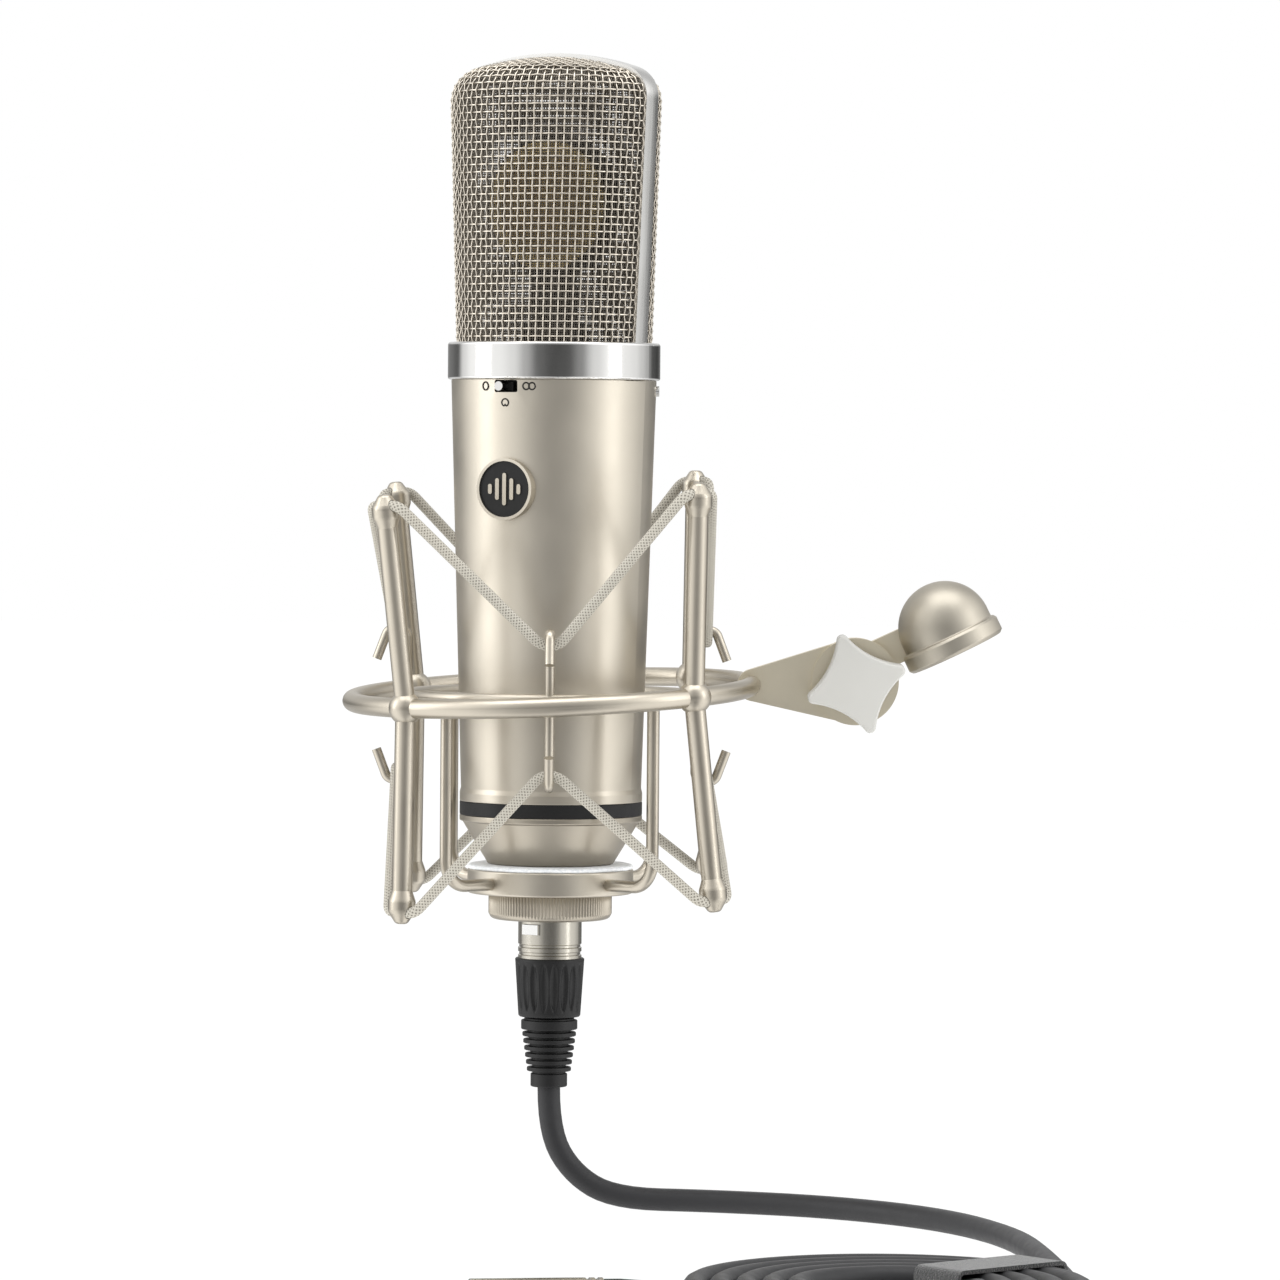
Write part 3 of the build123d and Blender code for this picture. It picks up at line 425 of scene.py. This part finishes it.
def mesh_piece(name, vertices, faces, uvs=None):
    """A new smooth-shaded mesh object from lists; uvs are one pair per face corner."""
    data = bpy.data.meshes.new(name)
    data.from_pydata([tuple(v) for v in vertices], [], faces)
    if uvs is not None:
        layer = data.uv_layers.new(name="along")
        layer.data.foreach_set("uv", [c for pair in uvs for c in pair])
    data.polygons.foreach_set("use_smooth", [True] * len(data.polygons))
    data.update()
    piece = bpy.data.objects.new(name, data)
    bpy.context.collection.objects.link(piece)
    return piece


def tube_lists(points, radius, sides, closed=False, offset=0):
    """Vertices, faces and UVs of a round tube along points; ends are capped unless closed."""
    count = len(points)
    tangents = []
    for k in range(count):
        before = points[k - 1] if (k or closed) else points[k]
        after = points[(k + 1) % count] if (k + 1 < count or closed) else points[k]
        tangents.append((after - before).normalized())
    side = tangents[0].orthogonal().normalized()
    vertices, faces, uvs = [], [], []
    length = 0.0
    lengths = []
    for k in range(count):
        if k:
            turn = tangents[k - 1].rotation_difference(tangents[k])
            side = turn @ side
            length += (points[k] - points[k - 1]).length
        lengths.append(length)
        side = (side - tangents[k] * side.dot(tangents[k])).normalized()
        other = tangents[k].cross(side)
        for s in range(sides):
            a = TAU * s / sides
            vertices.append(points[k] + (side * math.cos(a) + other * math.sin(a)) * radius)
    rings = count if closed else count - 1
    unit = TAU * radius
    total = length + (points[0] - points[-1]).length
    for k in range(rings):
        here, there = k * sides, ((k + 1) % count) * sides
        v0 = lengths[k] / unit
        v1 = (lengths[k + 1] if k + 1 < count else total) / unit
        for s in range(sides):
            t = (s + 1) % sides
            faces.append((offset + here + s, offset + here + t, offset + there + t, offset + there + s))
            u0, u1 = s / sides, (s + 1) / sides
            uvs += [(u0, v0), (u1, v0), (u1, v1), (u0, v1)]
    if not closed:
        faces.append(tuple(offset + s for s in reversed(range(sides))))
        uvs += [(0.5, 0.0)] * sides
        faces.append(tuple(offset + (count - 1) * sides + s for s in range(sides)))
        uvs += [(0.5, 0.0)] * sides
    return vertices, faces, uvs


def tubes(name, paths, radius, sides, closed=False):
    """Many tubes in one mesh."""
    vertices, faces, uvs = [], [], []
    for path in paths:
        v, f, u = tube_lists(path, radius, sides, closed, offset=len(vertices))
        vertices += v
        faces += f
        uvs += u
    return mesh_piece(name, vertices, faces, uvs)


def lathe(name, matrix, outline, steps, ripple):
    """A ring turned about the matrix's z from a closed outline of (radius, z).
    ripple(angle, radius, z) gives the radius of each point."""
    vertices, faces = [], []
    for r, z in outline:
        for s in range(steps):
            a = TAU * s / steps
            rippled = ripple(a, r, z)
            vertices.append(matrix @ Vector((rippled * math.cos(a), rippled * math.sin(a), z)))
    for k in range(len(outline)):
        here, there = k * steps, (k + 1) % len(outline) * steps
        for s in range(steps):
            t = (s + 1) % steps
            faces.append((here + s, there + s, there + t, here + t))
    piece = mesh_piece(name, vertices, faces)
    bm = bmesh.new()
    bm.from_mesh(piece.data)
    bmesh.ops.remove_doubles(bm, verts=bm.verts, dist=1e-7)
    bmesh.ops.recalc_face_normals(bm, faces=bm.faces)
    bm.to_mesh(piece.data)
    bm.free()
    return piece


def finish_piece(piece, body, material, *replaced, slot=None):
    """Material, body and CAD node of a new piece."""
    paint(piece, material)
    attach(piece, body)
    if replaced:
        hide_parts(*replaced)
    return piece


finish_piece(cable, "microphone", "jacket", "cable_runs", "cable_coil", slot="cable_jacket")

# ------------------------------------------------------------------ head: woven meshes

HEAD_BASE = (26.0 * MM, 26.1 * MM)
HEAD_TOP = (29.5 * MM, 24.3 * MM)
BAND_TOP = high("head_ring").z
CROWN_TOP = high("head_bow").z - 0.8 * MM
CROWN_R = 72 * MM
EDGE_R = 8.5 * MM
BOW_HALF = 3.4 * MM
LOFT_TOP = CROWN_TOP + 4 * MM


def head_section(z, inset):
    """Half width and half depth of the head at a height."""
    share = (z - BAND_TOP) / (LOFT_TOP - BAND_TOP)
    return (HEAD_BASE[0] + (HEAD_TOP[0] - HEAD_BASE[0]) * share - inset,
            HEAD_BASE[1] + (HEAD_TOP[1] - HEAD_BASE[1]) * share - inset)


CROWN_CENTRE = Vector((0, 0, CROWN_TOP - CROWN_R))


def wall_point(theta, z, inset):
    """A point of the head's wall at an angle from the front centre, and its outward normal."""
    w, d = head_section(z, inset)
    point = Vector((w * math.sin(theta), -d * math.cos(theta), z))
    normal = Vector((math.sin(theta) / w, -math.cos(theta) / d, 0)).normalized()
    return point, normal


def edge_centre(theta, inset):
    """Centre of the ball that rounds the top edge at an angle, and the wall's normal there."""
    r = EDGE_R - inset
    z = CROWN_TOP - 12 * MM
    for _ in range(8):
        point, normal = wall_point(theta, z, inset)
        centre = point - normal * r
        z = CROWN_CENTRE.z + math.sqrt((CROWN_R - inset - r) ** 2 - centre.x**2 - centre.y**2)
    centre.z = z
    return centre, normal


def wire_up(theta, inset, step):
    """One upright wire's path with its surface normals, evenly spaced: up the wall, over the
    edge, and back over the crown to the bow."""
    centre, normal = edge_centre(theta, inset)
    fine = []
    z = BAND_TOP - 0.6 * MM
    count = 60
    for k in range(count):
        fine.append(wall_point(theta, z + (centre.z - z) * k / count, inset))
    crown = (centre - CROWN_CENTRE).normalized()
    for k in range(25):
        n = normal.slerp(crown, k / 24)
        fine.append((centre + n * (EDGE_R - inset), n))
    start = fine[-1][0]
    y = start.y
    while y < -BOW_HALF + 0.3 * MM:
        y += 0.5 * MM
        height = math.sqrt((CROWN_R - inset) ** 2 - start.x**2 - y * y)
        point = Vector((start.x, y, CROWN_CENTRE.z + height))
        fine.append((point, (point - CROWN_CENTRE).normalized()))
    path, along, target = [fine[0]], 0.0, step
    for (a, na), (b, nb) in zip(fine, fine[1:]):
        length = (b - a).length
        while along + length >= target:
            share = (target - along) / length
            path.append((a.lerp(b, share), na.lerp(nb, share).normalized()))
            target += step
        along += length
    return [(p, n) for p, n in path if p.y < -BOW_HALF + 0.2 * MM]


def upright_angles(inset, pitch):
    """Angles of the upright wires, evenly spaced along the wall's section."""
    w, d = head_section(BAND_TOP + 30 * MM, inset)
    limit = math.acos((BOW_HALF + 0.3 * MM) / d)
    samples = 400
    angles = [-limit + 2 * limit * k / samples for k in range(samples + 1)]
    lengths = [0.0]
    for a, b in zip(angles, angles[1:]):
        step = Vector((w * (math.sin(b) - math.sin(a)), d * (math.cos(b) - math.cos(a))))
        lengths.append(lengths[-1] + step.length)
    count = round(lengths[-1] / pitch)
    result, k = [], 0
    for n in range(count + 1):
        target = lengths[-1] * n / count
        while k < samples - 1 and lengths[k + 1] < target:
            k += 1
        share = (target - lengths[k]) / (lengths[k + 1] - lengths[k])
        result.append(angles[k] + (angles[k + 1] - angles[k]) * share)
    return result


def refine(points):
    """Puts a softened point between neighbours, so that a wire bends smoothly over its crossings."""
    result = [points[0]]
    for a, b in zip(points, points[1:]):
        result += [(a + b) / 2, b]
    return result


def woven_half(name, inset, pitch, wire_r, sides, woven, back):
    """One half of the grille: upright and level wires, passed over and under each other."""
    angles = upright_angles(inset, pitch)
    grid = [wire_up(theta, inset, pitch) for theta in angles]
    lift = wire_r * 0.95 if woven else 0.0
    place = MIC @ (Matrix.Rotation(math.pi, 4, "Z") if back else Matrix.Identity(4))
    paths = []
    for i, column in enumerate(grid):
        points = [p + n * (lift if (i + j) % 2 else -lift) for j, (p, n) in enumerate(column)]
        paths.append(points)
    rows = max(len(column) for column in grid)
    for j in range(rows):
        run = []
        for i, column in enumerate(grid + [[]]):
            if j < len(column):
                p, n = column[j]
                shift = (-lift if (i + j) % 2 else lift) if woven else -2 * wire_r
                run.append(p + n * shift)
            elif run:
                if len(run) > 2:
                    paths.append(run)
                run = []
    paths = [[place @ p for p in (refine(path) if woven else path)] for path in paths if len(path) > 2]
    return tubes(name, paths, wire_r, sides)


WIRE_R, WIRE_PITCH, WIRE_INSET = 0.235 * MM, 1.95 * MM, 0.5 * MM
FINE_R, FINE_PITCH, FINE_INSET = 0.17 * MM, 0.66 * MM, 1.4 * MM
for label, back in (("front", False), ("rear", True)):
    grille = woven_half(f"woven_grille_{label}", WIRE_INSET, WIRE_PITCH, WIRE_R, 6, True, back)
    finish_piece(grille, "microphone", "wire", f"grille_{label}", slot="wire_mesh")
    fine = woven_half(f"fine_mesh_{label}", FINE_INSET, FINE_PITCH, FINE_R, 3, False, back)
    finish_piece(fine, "microphone", "fine_wire", "mesh_liner", slot="wire_mesh")

# ------------------------------------------------------------------ marks round the pattern switch

BODY_TOP_R, BODY_FOOT_R, BODY_TOP = 27.05 * MM, 23.8 * MM, 71.1 * MM


def on_body(u, z, lift):
    """A point of the body's surface: u along its girth from the front centre, z up."""
    share = (BODY_TOP - z) / (high("body_tube").z - low("body_tube").z)
    radius = BODY_TOP_R - (BODY_TOP_R - BODY_FOOT_R) * share + lift
    a = u / radius
    return MIC @ Vector((radius * math.sin(a), -radius * math.cos(a), z))


def oval(u, z, half_width, half_height, steps=28):
    """Points of an oval mark on the body, as (u, z)."""
    angles = [TAU * k / steps for k in range(steps)]
    return [(u + half_width * math.cos(a), z + half_height * math.sin(a)) for a in angles]


def pattern_marks():
    """Pickup patterns round the selector: a circle, a figure of eight and a heart shape."""
    z = 69.2 * MM
    outlines = [oval(-6.4 * MM, z, 0.92 * MM, 1.05 * MM)]
    outlines += [oval(6.5 * MM + way * 0.8 * MM, z, 0.86 * MM, 0.9 * MM) for way in (-1, 1)]
    heart = []
    for k in range(40):
        a = TAU * k / 40
        notch = min(abs(a - 0.75 * TAU) / 0.5, 1)
        reach = 0.98 * MM * (0.42 + 0.58 * math.sin(notch * TAU / 4))
        heart.append((-0.2 * MM + reach * math.cos(a), z - 4.3 * MM + reach * math.sin(a)))
    lines = [[on_body(u, height, -0.02 * MM) for u, height in outline] for outline in [*outlines, heart]]
    return tubes("pattern_marks", lines, 0.21 * MM, 6, closed=True)


finish_piece(pattern_marks(), "microphone", "mark_paint", slot="black_trim")

# ------------------------------------------------------------------ plug boots

FLUTES = 20
BOOT_TOP, BOOT_LENGTH = high("plug_boot").z, 15.5 * MM


def fluted(angle, r, z):
    """Lens-shaped grip flutes between the boot's two ends."""
    share = (BOOT_TOP - z) / BOOT_LENGTH
    if r < 7.0 * MM or not 0.10 < share < 0.88:
        return r
    width = 0.46 * math.sqrt(math.sin(math.pi * (share - 0.10) / 0.78))
    phase = abs((angle * FLUTES / TAU) % 1 - 0.5)
    if phase > width:
        return r
    return r - 0.55 * MM * (1 - (phase / width) ** 2)


def boot_outline():
    """The boot's section: its tapering outside, and its bore, wider above a step."""
    foot, first = BOOT_TOP - BOOT_LENGTH, BOOT_TOP - 0.25 * MM
    fall = BOOT_LENGTH - 0.6 * MM
    outside = [(9.15 * MM - 0.95 * MM * k / 24, first - fall * k / 24) for k in range(25)]
    bore = [(5.0 * MM, foot), (5.0 * MM, foot + 3 * MM), (7.2 * MM, foot + 3 * MM)]
    return [(7.2 * MM, BOOT_TOP), (8.85 * MM, BOOT_TOP), *outside, (7.9 * MM, foot), *bore]


near_boot = lathe("fluted_boot", Matrix.Translation((MIC_X, 0, 0)), boot_outline(), FLUTES * 14, fluted)
finish_piece(near_boot, "microphone", "rubber", "plug_boot", slot="plug_rubber")

# ------------------------------------------------------------------ elastic loops

ELASTIC_R = 1.4 * MM
POST_TIP_R, POST_RING_R, POST_TIP_Z = 56.6 * MM, 52.8 * MM, 47.0 * MM
SADDLE_REACH, HOOK_REACH, SEAT_RISE = 5.0 * MM, 2.3 * MM, 5.6 * MM
HOOK_R, HOOK_HIGH, HOOK_LOW = 40.9 * MM, 2.25 * MM, -31.45 * MM


def elastic_corners(up):
    """The loop's corners, as in the CAD model: level at each post end and under each hook."""
    corners = []
    for quarter in range(4):
        a = math.radians(45 + 90 * quarter)
        radial = Vector((math.cos(a), math.sin(a), 0))
        tangent = Vector((-math.sin(a), math.cos(a), 0))
        rise = Vector((0, 0, up * POST_TIP_Z))
        lean = (radial * (POST_TIP_R - POST_RING_R) + rise).normalized()
        tip = radial * POST_TIP_R + rise + lean * SEAT_RISE
        for way in (-1, 1):
            corners.append(CAGE @ (tip + tangent * way * SADDLE_REACH))
        b = math.radians(90 + 90 * quarter)
        hook_z = HOOK_HIGH if up > 0 else HOOK_LOW
        hook = Vector((MIC_X + HOOK_R * math.cos(b), HOOK_R * math.sin(b), hook_z))
        along = Vector((-math.sin(b), math.cos(b), 0))
        for way in (-1, 1):
            corners.append(hook + along * way * HOOK_REACH)
    return corners


def rounded(points, radius, steps):
    """Rounds a closed polyline's corners with short arcs of points."""
    result = []
    for before, here, after in zip(points[-1:] + points[:-1], points, points[1:] + points[:1]):
        one, two = before - here, after - here
        cut = min(radius, one.length * 0.48, two.length * 0.48)
        a, b = here + one.normalized() * cut, here + two.normalized() * cut
        for s in range(steps + 1):
            t = s / steps
            result.append(a * (1 - t) ** 2 + here * 2 * t * (1 - t) + b * t * t)
    return result


def elastic_loop(name, up):
    """A braided elastic through the post ends and under the hooks, as one closed tube."""
    smooth = rounded(elastic_corners(up), 2.2 * MM, 5)
    path = []
    for a, b in zip(smooth, smooth[1:] + smooth[:1]):
        pieces = max(1, math.ceil((b - a).length / (4 * MM)))
        path += [a + (b - a) * k / pieces for k in range(pieces)]
    v, f, u = tube_lists(path, ELASTIC_R, 20, closed=True)
    return mesh_piece(name, v, f, u)


for label, up in (("upper", 1), ("lower", -1)):
    loop = elastic_loop(f"elastic_{label}", up)
    paint(loop, "braid")
    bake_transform(loop)
    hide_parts(f"{label}_elastic")

# ------------------------------------------------------------------ felt and nut

felt_low, felt_high = low("felt_washer").z, high("felt_washer").z
felt_r = (high("felt_washer").x - low("felt_washer").x) / 2


def felt_ripple(angle, r, z):
    """The felt's cut edge wavers a little."""
    if r < felt_r * 0.8:
        return r
    waves = math.sin(angle * 7) + 0.6 * math.sin(angle * 13 + 1) + 0.5 * math.sin(angle * 29 + z * 900)
    return r - 0.15 * MM + 0.12 * MM * waves


felt = lathe("felt_pad", MIC, [
    (13.3 * MM, felt_low), (felt_r - 0.5 * MM, felt_low), (felt_r - 0.15 * MM, felt_low + 0.25 * MM),
    (felt_r, (felt_low + felt_high) / 2), (felt_r - 0.15 * MM, felt_high - 0.3 * MM),
    (felt_r - 0.6 * MM, felt_high - 0.03 * MM), (17.0 * MM, felt_high - 0.02 * MM),
    (13.3 * MM, felt_high - 0.05 * MM),
], 240, felt_ripple)
finish_piece(felt, "microphone", "felt", "felt_washer", slot="felt")

NUT_TEETH = 114
nut_high, nut_low = high("retaining_nut").z, low("retaining_nut").z
nut_r = 16.3 * MM


def nut_ripple(angle, r, z):
    """Straight knurls round the nut's widest part."""
    if r < nut_r - 0.05 * MM:
        return r
    return r - 0.34 * MM * (0.5 - 0.5 * math.cos(angle * NUT_TEETH))


nut = lathe("knurled_nut", Matrix.Translation((MIC_X, 0, 0)), [
    (13.05 * MM, nut_high), (nut_r - 0.7 * MM, nut_high), (nut_r - 0.35 * MM, nut_high - 0.25 * MM),
    (nut_r, nut_high - 0.5 * MM), (nut_r, nut_low + 1.6 * MM), (nut_r - 0.2 * MM, nut_low + 1.2 * MM),
    (nut_r - 0.5 * MM, nut_low + 0.6 * MM), (nut_r - 1.0 * MM, nut_low + 0.2 * MM),
    (nut_r - 1.7 * MM, nut_low),
    (13.4 * MM, nut_low), (13.05 * MM, nut_low + 0.4 * MM),
], NUT_TEETH * 8, nut_ripple)
# The nut takes the darker copy of the satin nickel, painted shade.
finish_piece(nut, "nut", "shaded_nickel", "retaining_nut", slot="satin_nickel")

# ------------------------------------------------------------------ floor, world, lights

# A light table: it glows, and the camera sees it as nearly white as what lies behind it.
floor_data = bpy.data.meshes.new("floor")
floor = bpy.data.objects.new("floor", floor_data)
bm = bmesh.new()
bmesh.ops.create_grid(bm, x_segments=4, y_segments=4, size=6)
bm.to_mesh(floor_data)
bm.free()
floor.location.z = FLOOR_Z - 0.0002
floor.visible_glossy = False
bpy.context.collection.objects.link(floor)
floor_look = Nodes("floor")
floor_look.set(Roughness=0.9, Specular_IOR_Level=0.1, Emission_Strength=1.0)
greys = (0.3, (0.44, 0.44, 0.43)), (0.7, (0.47, 0.47, 0.46))
floor_look.to(floor_look.ramp(floor_look.noise(3, 2), *greys), "Base Color")
seen = floor_look.add("ShaderNodeLightPath")
glow = floor_look.add("ShaderNodeEmission", Color=(1, 1, 1, 1), Strength=1.0)
mix = floor_look.add("ShaderNodeMixShader")
floor_look.link(floor_look.math("MULTIPLY", seen.outputs["Is Camera Ray"], 0.93), mix.inputs["Fac"])
floor_look.link(floor_look.shader.outputs["BSDF"], mix.inputs[1])
floor_look.link(glow.outputs["Emission"], mix.inputs[2])
floor_look.link(mix.outputs["Shader"], floor_look.tree.nodes["Material Output"].inputs["Surface"])
floor_data.materials.append(floor_look.material)


# How bright the studio is at each angle round the object, in degrees from the front, leftwards
# below zero: two bright panels, and dark in front and towards the back.
STUDIO_LEVELS = [
    (-180, 0.35), (-150, 0.2), (-128, 0.12), (-115, 0.9), (-100, 1.2), (-62, 1.15), (-44, 0.95), (-30, 0.5),
    (-18, 0.16), (0, 0.08), (16, 0.10), (30, 0.32), (46, 0.9), (64, 1.2), (86, 1.1), (100, 1.0),
    (112, 0.75), (124, 0.5), (135, 0.1), (152, 0.06), (180, 0.35),
]


def studio_world():
    """White to the camera, and round the object a soft studio that brightens off the horizon."""
    world = bpy.data.worlds.new("studio")
    world.use_nodes = True
    bpy.context.scene.world = world
    w = Tree(world.node_tree)
    split = w.add("ShaderNodeSeparateXYZ")
    w.link(w.add("ShaderNodeTexCoord").outputs["Generated"], split.inputs["Vector"])
    angle = w.math("ARCTAN2", split.outputs["X"], w.math("MULTIPLY", split.outputs["Y"], -1))
    stops = [(0.5 + degrees / 360, (level, level, level * 0.99)) for degrees, level in STUDIO_LEVELS]
    panels = w.ramp(w.span(angle, 0, 1, -math.pi, math.pi), *stops, interpolation="EASE")
    lift = w.span(w.math("ABSOLUTE", split.outputs["Z"]), 0, 0.55, 0.03, 0.2)
    total = w.add("ShaderNodeMix", data_type="RGBA", blend_type="ADD")
    total.inputs["Factor"].default_value = 1.0
    w.link(panels, total.inputs["A"])
    w.link(lift, total.inputs["B"])
    seen_white = w.add("ShaderNodeMix", data_type="RGBA")
    w.link(w.add("ShaderNodeLightPath").outputs["Is Camera Ray"], seen_white.inputs["Factor"])
    w.link(total.outputs["Result"], seen_white.inputs["A"])
    seen_white.inputs["B"].default_value = (1, 1, 1, 1)
    w.link(seen_white.outputs["Result"], w.tree.nodes["Background"].inputs["Color"])


studio_world()


def softbox(name, place, target, size, power):
    """A rectangular area light that faces a target."""
    data = bpy.data.lights.new(name, "AREA")
    data.shape = "RECTANGLE"
    data.size, data.size_y = size
    data.energy = power
    lamp = bpy.data.objects.new(name, data)
    bpy.context.collection.objects.link(lamp)
    lamp.location = place
    lamp.rotation_mode = "QUATERNION"
    lamp.rotation_quaternion = (Vector(target) - Vector(place)).to_track_quat("-Z", "Y")
    return lamp


softbox("overhead", (-0.1, -0.3, 1.6), (-0.1, 0, 0), (1.6, 1.2), 13)
softbox("left_box", (-1.5, -0.2, 0.5), (-0.1, 0, 0.02), (0.5, 1.3), 4.5)
softbox("right_box", (1.3, -0.5, 0.4), (-0.1, 0, 0.02), (0.35, 1.2), 3)
bpy.context.scene.view_settings.view_transform = "Standard"

for name in ("strain_relief", "far_plug_boot", "far_strain_relief"):
    paint(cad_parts[name], "rubber")
paint(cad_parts["cable_tie"], "tie")
